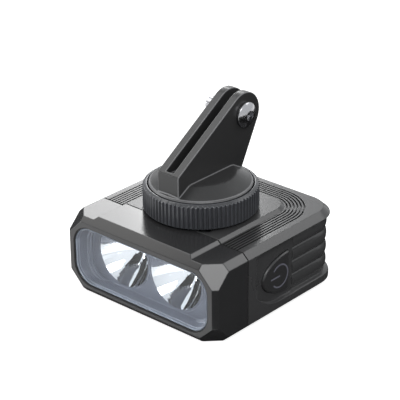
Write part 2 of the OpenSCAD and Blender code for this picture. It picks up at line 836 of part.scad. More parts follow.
module usb_board() color([0.1, 0.35, 0.2])
    translate([-usb_board_w / 2, usb_board_y0, usb_z - board_t])
        cube([usb_board_w, usb_board_d - 2 * snug, board_t]);

// Charging socket: a flat oval shell with its contact tongue
socket_w = port_w - 0.6;
socket_h = port_h - 0.6;

module usb_socket() color([0.75, 0.75, 0.78]) {
    difference() {
        along_y(cavity_y1 - 7, cavity_y1 + 0.3) port_outline(socket_w, socket_h);
        along_y(cavity_y1 - 5.8, case_d) port_outline(socket_w - 0.6, socket_h - 0.6);
    }
    along_y(cavity_y1 - 6, cavity_y1 - 0.6) translate([0, port_z]) square([6.6, 0.7], center = true);
}

// Flat lead from the driver board, over the battery and down to the port board
module port_ribbon() color([0.8, 0.55, 0.2]) {
    t = 0.3;
    z0 = battery_z + battery_h + 0.4;
    y0 = driver_y + board_t;
    y1 = usb_board_y0 - 0.6;
    along_x(-5, 5) {
        translate([y0, z0]) square([y1 - y0, t]);
        translate([y1 - t, usb_z - board_t + 0.3]) square([t, z0 - usb_z + board_t]);
        translate([y1 - t, usb_z - board_t + 0.3]) square([0.6 + t, t]);
    }
}

// Rubber cover of the port, with a rounded lower edge that it turns on
hinge_r = cover_t / 2;
cover_y0 = port_y1 + 0.05;
hinge_y = cover_y0 + hinge_r;
hinge_z = port_z - cover_h / 2;
strap_stud_r = 0.9;
strap_hole_z = hinge_z - 2.3;

module cover_plate_outline() {
    r = 2.2;
    translate([-cover_w / 2, hinge_z + 0.1]) square([cover_w, cover_h - r]);
    translate([r - cover_w / 2, hinge_z + 0.1]) square([cover_w - 2 * r, cover_h]);
    for (sx = [-1, 1]) translate([sx * (cover_w / 2 - r), hinge_z + 0.1 + cover_h - r]) circle(r);
}

module port_cover() color([0.07, 0.07, 0.07]) {
    along_y(cover_y0, cover_y0 + cover_t) cover_plate_outline();
    along_x(-cover_w / 2, cover_w / 2) translate([hinge_y, hinge_z]) circle(hinge_r);
    along_y(cavity_y1 + 0.5, cover_y0 + small) port_outline(port_w - 0.5, port_h - 0.5);
    along_y(cover_y0 + cover_t - small, cover_y0 + cover_t + 0.3)
        translate([0, port_z + cover_h / 2 - 1.6]) square([6, 0.8], center = true);
}

// The strap that ties the cover to the case, with a stud through the wall
module port_strap() color([0.07, 0.07, 0.07]) {
    top = hinge_z - hinge_r - 0.1;
    along_y(cover_y0, cover_y0 + 0.6) {
        translate([-3, top - 2.6]) square([6, 2.6]);
    }
    along_y(cavity_y1 - 1, cover_y0 + small) translate([0, strap_hole_z]) circle(strap_stud_r);
    along_y(cavity_y1 - 1.2, cavity_y1 - 0.2) translate([0, strap_hole_z]) circle(strap_stud_r + 0.5);
}

// Button, its sign and the switch behind it

module side_button() color([0.13, 0.13, 0.14]) {
    grow = -button_gap;
    along_x(flange_x - flange_t, button_face - button_rim) button_outline(grow);
    hull() {
        along_x(button_face - button_rim - small, button_face - button_rim) button_outline(grow);
        along_x(button_face - small, button_face) button_outline(grow - button_rim);
    }
    along_x(flange_x - flange_t, flange_x) button_outline(0.7);
    along_x(stem_x, flange_x - flange_t + small) translate([stem_y, button_z]) circle(1.8);
}

// A plain power sign, turned to the front: an open circle with a bar in its gap
module button_symbol() color([0.75, 0.78, 0.82]) {
    symbol_t = 0.08;
    symbol_y = button_y - button_gap - button_rim - 0.1 - symbol_r - symbol_line / 2;
    translate([button_face + small, symbol_y, button_z - 0.4]) rotate([90, 0, 90]) {
        rotate([0, 0, 220]) rotate_extrude(angle = 280)
            translate([symbol_r - symbol_line / 2, 0]) square([symbol_line, symbol_t]);
        translate([-1.15 * symbol_r, -symbol_line / 2, 0])
            cube([1.15 * symbol_r, symbol_line, symbol_t]);
    }
}

module button_seal() color([0.05, 0.05, 0.05]) difference() {
    along_x(flange_x + 0.05, cavity_half - 0.02) button_outline(0.6);
    along_x(0, half_w) button_outline(0);
}

module switch_board() color([0.1, 0.35, 0.2])
    translate([switch_board_x, stem_y - switch_board_w / 2, floor_wall])
        cube([board_t, switch_board_w, switch_board_h]);

module tact_switch() color([0.2, 0.2, 0.2]) difference() {
    along_x(switch_x - switch_t, switch_x) translate([stem_y, button_z])
        square(switch_w, center = true);
    along_x(switch_x - 1.2, switch_x + 1) translate([stem_y, button_z]) circle(1.9);
}

module switch_plunger() color([0.85, 0.85, 0.8])
    along_x(stem_x - plunger_h, stem_x) translate([stem_y, button_z]) circle(1.7);

// Boss with three bayonet lugs, a stop beside each and the centre post

module sector(r0, r1, a0, a1, z0, z1) {
    translate([0, 0, z0]) rotate([0, 0, a0]) rotate_extrude(angle = a1 - a0)
        translate([r0, 0]) square([r1 - r0, z1 - z0]);
}

module on_ring_axis() {
    translate([0, ring_y, 0]) children();
}

boss_screw_r = 9.5;

module boss_screw_places() {
    for (a = [45:90:315])
        translate([boss_screw_r * cos(a), ring_y + boss_screw_r * sin(a), cavity_z1 - small]) children();
}

module mount_boss() color([0.3, 0.3, 0.31]) difference() {
    on_ring_axis() {
        translate([0, 0, platform_z]) cylinder(r = boss_r, h = boss_top - platform_z, $fn = 96);
        translate([0, 0, boss_top - small])
            cylinder(r = post_r, h = foot_z - boss_top + small);
        for (k = [0:2]) {
            sector(boss_r - 1, boss_lug_r, 120 * k - lug_angle / 2, 120 * k + lug_angle / 2,
                lug_z, boss_top);
            sector(boss_r - 1, boss_lug_r, 120 * k - lug_angle / 2 - 3.5, 120 * k - lug_angle / 2 - 0.5,
                platform_z + 0.1, boss_top);
        }
    }
    boss_screw_places() translate([0, 0, boss_top - cavity_z1]) countersink(boss_top - platform_z + 1);
}

module boss_screws() color([0.7, 0.7, 0.72]) boss_screw_places()
    translate([0, 0, boss_top - cavity_z1 - screw_sunk]) countersunk(boss_top - cavity_z1 - 0.3);

module friction_washer() color([0.55, 0.5, 0.35]) on_ring_axis()
    translate([0, 0, boss_top]) difference() {
        cylinder(r = boss_r - 0.4, h = washer_t);
        translate([0, 0, -1]) cylinder(r = post_r + 0.2, h = 3);
    }

// Knurled lock ring: bayonet lugs below, a shelf that pulls on the retainer plate above

function knurl_point(i) = let (k = floor(i / 3), j = i % 3,
        a = 360 * (k + [0, 0.28, 0.64][j]) / knurl_n,
        r = j < 2 ? ring_r : ring_r - knurl_deep)
    [r * cos(a), r * sin(a)];

module ring_body_profile() {
    cut = 0.5;
    polygon([[hub_r + foot_gap, shelf_z], [hub_r + foot_gap, shelf_z + shelf_t],
        [ring_bore_r, shelf_z + shelf_t], [ring_bore_r, ring_top - 0.3],
        [ring_bore_r + 0.3, ring_top], [ring_r + 0.3 - ring_cut_w, ring_top],
        [ring_r + 0.3, ring_top - ring_cut_h - 0.18], [ring_r + 0.3, ring_z0 + cut + 0.3],
        [ring_r - cut, ring_z0], [ring_bore_r, ring_z0], [ring_bore_r, shelf_z]]);
}

module lock_ring() color([0.22, 0.23, 0.25]) on_ring_axis() {
    intersection() {
        rotate_extrude($fn = 96) ring_body_profile();
        linear_extrude(ring_top + 1) polygon([for (i = [0:3 * knurl_n - 1]) knurl_point(i)]);
    }
    for (k = [0:2])
        sector(ring_lug_r, ring_bore_r + small, 120 * k - lug_angle / 2, 120 * k + lug_angle / 2,
            ring_z0, ring_z0 + lug_t);
}

// Retainer plate under the ring's shelf, screwed to the fork's foot

retainer_screw_r = 9;
retainer_screw_l = 4.6;

module retainer_places() {
    for (a = [30:120:270]) on_ring_axis()
        translate([retainer_screw_r * cos(a), retainer_screw_r * sin(a), retainer_z]) children();
}

module retainer_plate() color([0.7, 0.7, 0.72]) difference() {
    on_ring_axis() translate([0, 0, retainer_z + 0.02]) difference() {
        cylinder(r = ring_bore_r - 1.4, h = retainer_t - 0.04, $fn = 96);
        translate([0, 0, -1]) cylinder(r = post_r + run_gap, h = 4);
    }
    retainer_places() rotate([180, 0, 0]) countersink(2 * retainer_t);
}

module retainer_screws() color([0.75, 0.75, 0.77]) retainer_places()
    rotate([180, 0, 0]) translate([0, 0, -screw_sunk]) countersunk(retainer_screw_l);

// Fork: round foot, front block and two prongs that carry the pivot bolt

function tangent_point(from, to, r, turn) = let (
        v = to - from,
        d = norm(v),
        a = atan2(v[1], v[0]) + turn * asin(r / d),
        l = sqrt(d * d - r * r))
    from + l * [cos(a), sin(a)];

module fin_outline() {
    front_foot = [block_y, foot_top];
    front = [block_y, block_z];
    back = [ring_y + back_foot, foot_top];
    pivot = [pivot_y, pivot_z];
    rail_end = tangent_point(front, pivot, prong_r, 1);
    rail = atan2(rail_end[1] - front[1], rail_end[0] - front[0]);
    middle = front + block_r * [1, (sin(rail) - 1) / cos(rail)];
    edge = [for (i = [0:6]) let (a = 180 - (90 - rail) * i / 6) middle + block_r * [cos(a), sin(a)]];
    polygon(concat([front_foot], edge, [rail_end, pivot,
        tangent_point(back, pivot, prong_r, -1), back]));
    translate(pivot) circle(prong_r, $fn = 96);
}

module foot_profile() {
    edge = 0.35;
    polygon([[0, foot_z], [foot_r, foot_z], [foot_r, foot_top - edge], [foot_r - edge, foot_top],
        [foot_r - 1.3, foot_top + 0.25], [cone_r + 0.8, foot_top + cone_h - 0.25],
        [cone_r - 0.4, foot_top + cone_h], [0, foot_top + cone_h]]);
    translate([0, shelf_z - run_gap]) square([hub_r, foot_z - shelf_z + run_gap + small]);
}

module fork_mount() color([0.2, 0.2, 0.21]) difference() {
    union() {
        on_ring_axis() rotate_extrude($fn = 96) foot_profile();
        along_x(-fork_w / 2, fork_w / 2) fin_outline();
    }
    along_x(-fork_gap / 2, fork_gap / 2) {
        slot_r = 1;
        slot_y = block_y + slot_wall;
        translate([slot_y, slot_z + slot_r]) square([80, 80]);
        translate([slot_y + slot_r, slot_z]) square([80, 80]);
        translate([slot_y + slot_r, slot_z + slot_r]) circle(slot_r);
    }
    along_x(-half_w, half_w) translate([pivot_y, pivot_z]) circle(bolt_r + bolt_gap);
    on_ring_axis() cylinder(r = post_r + run_gap, h = foot_z + 0.6);
    retainer_places() rotate([180, 0, 0]) countersink(retainer_screw_l + 0.6);
}

// Button-head bolt with a hex socket: a plain shank in the prongs, a neck and the thread's cylinder
module pivot_bolt() color([0.8, 0.8, 0.82]) translate([fork_w / 2, pivot_y, pivot_z]) rotate([0, 90, 0])
    difference() {
        dome_r = 1.6 * bolt_head_r;
        union() {
            translate([0, 0, 0.02]) intersection() {
                cylinder(r = bolt_head_r, h = bolt_head_h);
                translate([0, 0, bolt_head_h - dome_r]) sphere(dome_r, $fn = 96);
            }
            rotate_extrude() polygon([[0, -bolt_l], [thread_r - bolt_tip, -bolt_l],
                [thread_r, bolt_tip - bolt_l], [thread_r, -bolt_shank - bolt_neck],
                [bolt_neck_r, -bolt_shank - bolt_neck], [bolt_neck_r, -bolt_shank],
                [bolt_r, -bolt_shank], [bolt_r, 0.5], [0, 0.5]]);
        }
        translate([0, 0, bolt_head_h - 1.7]) cylinder(r = 1.73, h = 3, $fn = 6);
    }

// Origin: under the middle of the housing
module place() {
    translate([0, -case_d / 2, 0]) children();
}

place() front_head();
place() front_window();
place() window_gasket();
place() reflector_hood();
place() reflector_left();
place() reflector_right();
place() led_emitters();
place() led_board();
place() thermal_pad();
place() heat_spreader();
place() spreader_screws();
place() head_seal();
place() rear_case();
place() case_screws();
place() driver_board();
place() led_wires();
place() battery_pack();
place() battery_foam();
place() battery_wires();
place() usb_board();
place() usb_socket();
place() port_ribbon();
place() port_strap();
place() port_cover();
place() switch_board();
place() tact_switch();
place() button_seal();
place() side_button();
place() button_symbol();
place() switch_plunger();
place() mount_boss();
place() boss_screws();
place() friction_washer();
place() lock_ring();
place() retainer_plate();
place() retainer_screws();
place() fork_mount();
place() pivot_bolt();
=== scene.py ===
from math import cos, pi, radians, sin

import bpy
from mathutils import Matrix, Vector


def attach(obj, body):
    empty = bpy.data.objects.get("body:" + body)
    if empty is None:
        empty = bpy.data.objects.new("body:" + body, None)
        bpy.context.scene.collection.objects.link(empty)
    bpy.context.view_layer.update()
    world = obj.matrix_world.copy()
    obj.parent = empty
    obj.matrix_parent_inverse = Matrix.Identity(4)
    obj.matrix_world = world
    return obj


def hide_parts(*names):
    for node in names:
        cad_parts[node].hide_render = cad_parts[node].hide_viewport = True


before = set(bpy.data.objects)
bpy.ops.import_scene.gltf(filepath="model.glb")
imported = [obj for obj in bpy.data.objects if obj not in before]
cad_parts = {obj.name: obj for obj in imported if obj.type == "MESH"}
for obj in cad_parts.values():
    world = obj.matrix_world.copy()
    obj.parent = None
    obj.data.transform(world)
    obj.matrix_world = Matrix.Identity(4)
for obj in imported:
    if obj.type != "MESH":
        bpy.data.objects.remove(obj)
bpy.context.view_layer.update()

# Camera: a long lens high on the lamp's front right, about half a metre away. Its place,
# direction and roll come from a fit to sixty points of the photograph.
aim = radians(41.861)
rise = radians(25.700)
roll = radians(-0.470)
camera_place = (0.33361, -0.37472, 0.27285)
focal_mm = 146.7
sensor_mm = 36

back = Vector((sin(aim) * cos(rise), -cos(aim) * cos(rise), sin(rise)))
right = Vector((cos(aim), sin(aim), 0))
up = back.cross(right)
right, up = right * cos(roll) + up * sin(roll), up * cos(roll) - right * sin(roll)
lens = bpy.data.cameras.new("camera")
lens.lens = focal_mm
lens.sensor_width = sensor_mm
camera = bpy.data.objects.new("camera", lens)
bpy.context.scene.collection.objects.link(camera)
camera.matrix_world = Matrix((right, up, back)).transposed().to_4x4()
camera.location = camera_place
bpy.context.scene.camera = camera

# Studio: a pale paper table under the lamp in a white room, with lit panels and black
# cards round it. The eye, gloss and glass see the room as white, but it gives little light.
room_seen = 1
room_else = 0.4
table_seen = 0.85
table_else = 0
table_place = (0, 0, -0.0001)
just_over_table = -0.00005
lamp_middle = Vector((0, 0, 0.03))
panel_distance = 0.9


def backdrop_light(tree, strength_seen, strength_else):
    """A strength that is one value for the eye, gloss and glass, and another for the rest."""
    ray = tree.nodes.new("ShaderNodeLightPath")
    seen = tree.nodes.new("ShaderNodeMath")
    seen.operation = "MAXIMUM"
    tree.links.new(ray.outputs["Is Camera Ray"], seen.inputs[0])
    tree.links.new(ray.outputs["Is Transmission Ray"], seen.inputs[1])
    shiny = tree.nodes.new("ShaderNodeMath")
    shiny.operation = "MAXIMUM"
    tree.links.new(seen.outputs[0], shiny.inputs[0])
    tree.links.new(ray.outputs["Is Glossy Ray"], shiny.inputs[1])
    mix = tree.nodes.new("ShaderNodeMix")
    tree.links.new(shiny.outputs[0], mix.inputs["Factor"])
    mix.inputs["A"].default_value = strength_else
    mix.inputs["B"].default_value = strength_seen
    return mix.outputs["Result"]


bpy.context.scene.view_settings.view_transform = "Standard"
room = bpy.data.worlds.new("white_room")
bpy.context.scene.world = room
room.use_nodes = True
sky = room.node_tree.nodes["Background"]
sky.inputs["Color"].default_value = (0.96, 0.98, 1, 1)
room_light = backdrop_light(room.node_tree, room_seen, room_else)
room.node_tree.links.new(room_light, sky.inputs["Strength"])

bpy.ops.mesh.primitive_plane_add(size=6, location=table_place)
table = bpy.context.object
table.name = "table"
paper = bpy.data.materials.new("white_paper")
paper.use_nodes = True
sheet = paper.node_tree.nodes["Principled BSDF"]
sheet.inputs["Base Color"].default_value = (0.62, 0.62, 0.62, 1)
sheet.inputs["Roughness"].default_value = 0.9
sheet.inputs["Specular IOR Level"].default_value = 0.1
sheet.inputs["Emission Color"].default_value = (1, 1, 1, 1)
table_light = backdrop_light(paper.node_tree, table_seen, table_else)
paper.node_tree.links.new(table_light, sheet.inputs["Emission Strength"])
table.data.materials.append(paper)


def softbox(name, turn, height, wide, tall, brightness, tint=(1, 1, 1)):
    """A lit panel that faces the lamp; turn and height say where it hangs, in degrees."""
    around, above = radians(turn), radians(height)
    data = bpy.data.lights.new(name, "AREA")
    data.shape = "RECTANGLE"
    data.size = wide
    data.size_y = tall
    data.energy = brightness * pi * wide * tall
    data.color = tint
    panel = bpy.data.objects.new(name, data)
    bpy.context.scene.collection.objects.link(panel)
    away = Vector((cos(above) * cos(around), cos(above) * sin(around), sin(above)))
    panel.location = away * panel_distance + lamp_middle
    panel.rotation_euler = away.to_track_quat("Z", "Y").to_euler()


softbox("back_left_panel", turn=142, height=25.5, wide=0.27, tall=0.2, brightness=5)
softbox("front_left_panel", turn=215, height=45, wide=0.5, tall=0.4, brightness=1.5, tint=(1, 0.97, 0.93))
softbox("top_left_panel", turn=188, height=58, wide=0.4, tall=0.4, brightness=2.2)
softbox("front_right_panel", turn=-41, height=46, wide=0.46, tall=0.36, brightness=5.8)
softbox("back_right_panel", turn=60, height=40, wide=0.42, tall=0.32, brightness=2.5)
softbox("back_panel", turn=122, height=27, wide=0.3, tall=0.26, brightness=0.5)
softbox("back_strip_panel", turn=132, height=26.5, wide=0.075, tall=0.24, brightness=6.5)
softbox("front_low_panel", turn=212, height=8, wide=0.3, tall=0.2, brightness=20)


def black_card(name, place, turn, wide, tall, through_glass=False):
    """A black card that only the lamp's gloss sees, and its mirrors through the window if asked."""
    bpy.ops.mesh.primitive_plane_add(size=1, location=place, rotation=turn)
    card = bpy.context.object
    card.name = name
    card.scale = (wide, tall, 1)
    black = bpy.data.materials.new(name)
    black.use_nodes = True
    felt = black.node_tree.nodes["Principled BSDF"]
    felt.inputs["Base Color"].default_value = (0.02, 0.02, 0.02, 1)
    felt.inputs["Roughness"].default_value = 1
    felt.inputs["Specular IOR Level"].default_value = 0
    card.data.materials.append(black)
    card.visible_camera = False
    card.visible_diffuse = False
    card.visible_shadow = False
    card.visible_transmission = through_glass


flat = (0, 0, 0)
facing_window = (radians(56), 0, radians(-18))
black_card("table_card", place=(-0.01, 0.137, just_over_table), turn=flat, wide=0.9, tall=0.346)
black_card("right_card", place=(0.19, -0.17, just_over_table), turn=flat, wide=0.3, tall=0.268)
black_card("front_card", place=(-0.154, -0.473, 0.36), turn=facing_window, wide=0.46, tall=0.52,
           through_glass=True)


# Front head: machined from a block of aluminium, with its sharp edges broken and then
# bead-blasted and anodised black. It carries the window, and its tongue slips into the case.
def clean_selection():
    """Leaves object mode on and nothing selected, as each new piece needs it."""
    if bpy.context.object and bpy.context.object.mode != "OBJECT":
        bpy.ops.object.mode_set(mode="OBJECT")
    bpy.ops.object.select_all(action="DESELECT")


def take_up(node, whole=True):
    """A copy of a solid with its loose triangles joined up and, if whole, its flat faces made one."""
    same_place = 2e-6
    same_plane = radians(0.6)
    clean_selection()
    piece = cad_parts[node].copy()
    piece.data = piece.data.copy()
    piece.name = node + "_finished"
    piece.parent = None
    piece.matrix_world = Matrix.Identity(4)
    bpy.context.scene.collection.objects.link(piece)
    piece.hide_render = False
    piece.hide_set(False)
    piece.select_set(True)
    bpy.context.view_layer.objects.active = piece
    piece.data.materials.clear()
    bpy.ops.object.mode_set(mode="EDIT")
    bpy.ops.mesh.select_all(action="SELECT")
    bpy.ops.mesh.remove_doubles(threshold=same_place)
    if whole:
        bpy.ops.mesh.dissolve_limited(angle_limit=same_plane)
    bpy.ops.object.mode_set(mode="OBJECT")
    return piece


def mark_edges(mesh, sharp, share):
    """Weighs each sharp edge for the bevel by the share that its middle gets."""
    normals = {}
    for face in mesh.polygons:
        for key in face.edge_keys:
            normals.setdefault(key, []).append(face.normal)
    weights = mesh.attributes.new("bevel_weight_edge", "FLOAT", "EDGE")
    for edge in mesh.edges:
        pair = normals[edge.key]
        middle = (mesh.vertices[edge.vertices[0]].co + mesh.vertices[edge.vertices[1]].co) / 2
        bends = len(pair) == 2 and pair[0].angle(pair[1], 0) > radians(sharp)
        weights.data[edge.index].value = share(middle) if bends else 0


def break_edges(piece, width, sharp=28, segments=2, share=None):
    """Rounds the edges sharper than the angle, as a tumbler or a hand stone does.

    The rounding takes the piece's second material if it has one, which on the hood, the
    ring and the fork is a painted highlight, and share, if given, makes it narrower
    from place to place.
    """
    bpy.context.view_layer.objects.active = piece
    if share:
        mark_edges(piece.data, sharp, share)
    bevel = piece.modifiers.new("broken_edges", "BEVEL")
    bevel.width = width
    bevel.segments = segments
    bevel.limit_method = "WEIGHT" if share else "ANGLE"
    bevel.angle_limit = radians(sharp)
    bevel.use_clamp_overlap = False
    bevel.miter_outer = "MITER_ARC"
    bevel.material = 1 if len(piece.data.materials) > 1 else -1
    bpy.ops.object.modifier_apply(modifier=bevel.name)
    bpy.ops.object.select_all(action="DESELECT")
    piece.select_set(True)
    bpy.ops.object.shade_smooth_by_angle(angle=radians(sharp))
    normals = piece.modifiers.new("flat_faces", "WEIGHTED_NORMAL")
    normals.mode = "FACE_AREA"
    normals.weight = 100
    normals.keep_sharp = True
    bpy.ops.object.modifier_apply(modifier=normals.name)


def grain_group():
    """Fine even grain, with slow clouds over it where hands and time have been."""
    clouds_per_metre = 40
    middle_of_cloud = 0.5
    group = bpy.data.node_groups.new("surface_grain", "ShaderNodeTree")
    for label in ("Grain per metre", "Base roughness", "Roughness change"):
        group.interface.new_socket(label, in_out="INPUT", socket_type="NodeSocketFloat")
    for label in ("Height", "Roughness", "Cloud"):
        group.interface.new_socket(label, in_out="OUTPUT", socket_type="NodeSocketFloat")
    nodes, links = group.nodes, group.links
    ins, outs = nodes.new("NodeGroupInput"), nodes.new("NodeGroupOutput")
    place = nodes.new("ShaderNodeTexCoord")
    grain = nodes.new("ShaderNodeTexNoise")
    grain.inputs["Detail"].default_value = 2
    cloud = nodes.new("ShaderNodeTexNoise")
    cloud.inputs["Detail"].default_value = 5
    cloud.inputs["Scale"].default_value = clouds_per_metre
    links.new(place.outputs["Object"], grain.inputs["Vector"])
    links.new(place.outputs["Object"], cloud.inputs["Vector"])
    links.new(ins.outputs["Grain per metre"], grain.inputs["Scale"])
    centred = nodes.new("ShaderNodeMath")
    centred.operation = "SUBTRACT"
    links.new(cloud.outputs["Fac"], centred.inputs[0])
    centred.inputs[1].default_value = middle_of_cloud
    rough = nodes.new("ShaderNodeMath")
    rough.operation = "MULTIPLY_ADD"
    rough.use_clamp = True
    links.new(centred.outputs[0], rough.inputs[0])
    links.new(ins.outputs["Roughness change"], rough.inputs[1])
    links.new(ins.outputs["Base roughness"], rough.inputs[2])
    links.new(grain.outputs["Fac"], outs.inputs["Height"])
    links.new(rough.outputs[0], outs.inputs["Roughness"])
    links.new(cloud.outputs["Fac"], outs.inputs["Cloud"])
    return group


surface_grain = grain_group()


def grained(name, colour, worn, roughness, change=0.06, grain=9000, bump=0.005, **fixed):
    """A finish whose colour drifts slightly from colour to worn, with grain in its gloss."""
    grain_depth = 0.0001
    material = bpy.data.materials.new(name)
    material.use_nodes = True
    nodes, links = material.node_tree.nodes, material.node_tree.links
    shader = nodes["Principled BSDF"]
    for socket, value in fixed.items():
        shader.inputs[socket.replace("_", " ")].default_value = value
    group = nodes.new("ShaderNodeGroup")
    group.node_tree = surface_grain
    group.inputs["Grain per metre"].default_value = grain
    group.inputs["Base roughness"].default_value = roughness
    group.inputs["Roughness change"].default_value = change
    blend = nodes.new("ShaderNodeMix")
    blend.data_type = "RGBA"
    links.new(group.outputs["Cloud"], blend.inputs["Factor"])
    blend.inputs["A"].default_value = (*colour, 1)
    blend.inputs["B"].default_value = (*worn, 1)
    links.new(blend.outputs["Result"], shader.inputs["Base Color"])
    links.new(group.outputs["Roughness"], shader.inputs["Roughness"])
    relief = nodes.new("ShaderNodeBump")
    relief.inputs["Strength"].default_value = bump
    relief.inputs["Distance"].default_value = grain_depth
    links.new(group.outputs["Height"], relief.inputs["Height"])
    links.new(relief.outputs["Normal"], shader.inputs["Normal"])
    return material


anodised_head = grained("anodised_head", colour=(0.025, 0.025, 0.026), worn=(0.030, 0.030, 0.031),
                        roughness=0.2, Specular_IOR_Level=0.5)
head = take_up("front_head")
head.data.materials.append(anodised_head)
break_edges(head, width=0.00022)
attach(head, "housing")
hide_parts("front_head")

# Window: a flat pane of clear polycarbonate, pressed into a black rubber gasket. The
# bevel round its rim is ground, so it is pale and not clear.
clear_pane = bpy.data.materials.new("clear_pane")
clear_pane.use_nodes = True
pane_nodes, pane_links = clear_pane.node_tree.nodes, clear_pane.node_tree.links
pane_shader = pane_nodes["Principled BSDF"]
pane_shader.inputs["Base Color"].default_value = (0.96, 0.98, 1, 1)
pane_shader.inputs["Roughness"].default_value = 0.01
pane_shader.inputs["IOR"].default_value = 1.25
pane_shader.inputs["Transmission Weight"].default_value = 1
through = pane_nodes.new("ShaderNodeBsdfTransparent")
through.inputs["Color"].default_value = (0.93, 0.95, 0.97, 1)
ray = pane_nodes.new("ShaderNodeLightPath")
either = pane_nodes.new("ShaderNodeMixShader")
pane_links.new(ray.outputs["Is Shadow Ray"], either.inputs["Fac"])
pane_links.new(pane_shader.outputs["BSDF"], either.inputs[1])
pane_links.new(through.outputs["BSDF"], either.inputs[2])
pane_links.new(either.outputs["Shader"], pane_nodes["Material Output"].inputs["Surface"])
pane_edges = grained("pane_edges", colour=(0.2, 0.23, 0.28), worn=(0.24, 0.27, 0.32), roughness=0.3)
window = take_up("front_window")
window.data.materials.append(clear_pane)
window.data.materials.append(pane_edges)
break_edges(window, width=0.00035, segments=1)
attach(window, "housing")
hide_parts("front_window")


def coat(finish, *nodes):
    """Gives a finish to solids that are shown as they come from the construction."""
    for node in nodes:
        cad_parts[node].data.materials[0] = finish


gasket_rubber = grained("gasket_rubber", colour=(0.006, 0.006, 0.006), worn=(0.012, 0.012, 0.012),
                        roughness=0.6, grain=5000)
coat(gasket_rubber, "window_gasket")

# Hood: a moulded grey-blue tray between the window and the mirror cups. Its rounded
# steps and its other broken edges carry thin pale lines of painted highlight.
hood_satin = grained("hood_satin", colour=(0.082, 0.093, 0.122), worn=(0.098, 0.109, 0.14),
                     roughness=0.38, grain=7000, bump=0.03, Specular_IOR_Level=0.4)
hood_painted_highlight = grained("hood_painted_highlight", colour=(0.14, 0.155, 0.19), worn=(0.16, 0.175, 0.21), roughness=0.36)
hood = take_up("reflector_hood", whole=False)
hood.data.materials.append(hood_satin)
hood.data.materials.append(hood_painted_highlight)
break_edges(hood, width=0.00016)
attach(hood, "housing")
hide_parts("reflector_hood")

# Mirror cups: moulded cups with a vacuum coat of aluminium, as bright as a mirror.
# Their flat front rims are masked from the coat, so they stay as satin as the hood.
facing_forward = -0.97
cup_silver = grained("cup_silver", colour=(0.9, 0.91, 0.92), worn=(0.93, 0.94, 0.95), roughness=0.03,
                     change=0.02, bump=0.004, grain=2500, Metallic=1.0)
for side in ("left", "right"):
    cup = take_up("reflector_" + side, whole=False)
    cup.data.materials.append(cup_silver)
    cup.data.materials.append(hood_satin)
    for face in cup.data.polygons:
        if face.normal.y < facing_forward:
            face.material_index = 1
    bpy.ops.object.shade_smooth_by_angle(angle=radians(30))
    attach(cup, "housing")
    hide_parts("reflector_" + side)

# Emitters: in each cup a square of yellow phosphor under a clear resin dome. Both are
# soldered to one board, whose white mask throws stray light forward.
phosphor = grained("phosphor", colour=(0.72, 0.64, 0.3), worn=(0.78, 0.7, 0.36), roughness=0.25,
                   grain=12000, Coat_Weight=1.0, Coat_Roughness=0.03)
coat(phosphor, "led_emitters")
white_mask = grained("white_mask", colour=(0.8, 0.8, 0.77), worn=(0.84, 0.84, 0.8), roughness=0.35)
coat(white_mask, "led_board")

# Cooling: a soft silicone pad behind the emitter board, pressed on a milled aluminium
# spreader. The spreader's steel screws are of the kind used all over the lamp.
pad_silicone = grained("pad_silicone", colour=(0.32, 0.42, 0.6), worn=(0.36, 0.46, 0.64), roughness=0.7,
                       grain=4000, bump=0.2)
coat(pad_silicone, "thermal_pad")
milled_aluminium = grained("milled_aluminium", colour=(0.6, 0.6, 0.62), worn=(0.68, 0.68, 0.7),
                           roughness=0.35, grain=3000, Metallic=1.0)
coat(milled_aluminium, "heat_spreader")
screw_steel = grained("screw_steel", colour=(0.2, 0.2, 0.21), worn=(0.3, 0.3, 0.31), roughness=0.35,
                      grain=6000, Metallic=1.0)
coat(screw_steel, "spreader_screws", "boss_screws", "retainer_screws")

# Head seal: a thin flat rubber ring, cut from sheet and pinched in the dark line
# between the two shells, where it keeps the rain out.
coat(gasket_rubber, "head_seal")

# Rear case: a second anodised shell, a shade lighter and more matt than the head. Ribs
# round its sides cool it, and six grooves are cut round the platform on its top. Their
# walls and floors take a darker colour as painted shade.
anodised_case = grained("anodised_case", colour=(0.047, 0.047, 0.048), worn=(0.053, 0.053, 0.054),
                        roughness=0.27, Specular_IOR_Level=0.4)
groove_painted_shade = grained("groove_painted_shade", colour=(0.022, 0.022, 0.022), worn=(0.027, 0.027, 0.027),
                       roughness=0.5, Specular_IOR_Level=0.2)
deck_z = 0.0286
platform_round = 0.0084
groove_land = 0.0009
groove_count = 6
groove_pitch = 0.0012
groove_depth = 0.0008
flange_z = 0.0048
scoop_end = 0.0078
hair = 0.0001


def by_grooves(place):
    """Whether a place on the deck lies in the band of grooves, which bends with the platform."""
    core_half_width = 0.0137
    core_back = 0.01295
    across = max(abs(place.x) - core_half_width, 0)
    along = max(place.y - core_back, 0)
    out = (across ** 2 + along ** 2) ** 0.5
    band_starts = platform_round + groove_land / 3
    band_ends = platform_round + groove_land + groove_count * groove_pitch
    return place.z > deck_z - groove_depth - hair and band_starts < out < band_ends


def case_share(place):
    """The grooves stay crisp, and only the lower flange's rim behind the scoop has the full width."""
    fine_share = 0.2
    if by_grooves(place):
        return 0
    on_rim = abs(place.z - flange_z) < 1.5 * hair
    return 1 if on_rim and place.y > scoop_end else fine_share


case = take_up("rear_case")
case.data.materials.append(anodised_case)
break_edges(case, width=0.0006, share=case_share)
# The groove faces below the deck take the darker colour, painted shade in the grooves.
case.data.materials.append(groove_painted_shade)
for face in case.data.polygons:
    if by_grooves(face.center) and face.center.z < deck_z - hair / 2:
        face.material_index = 1
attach(case, "housing")
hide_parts("rear_case")

# Case screws: four countersunk steel screws, two above and two below, that tie the case
# to the head. Their heads come rounded from the tumbler.
screws = take_up("case_screws")
screws.data.materials.append(screw_steel)
break_edges(screws, width=0.0001)
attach(screws, "housing")
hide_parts("case_screws")

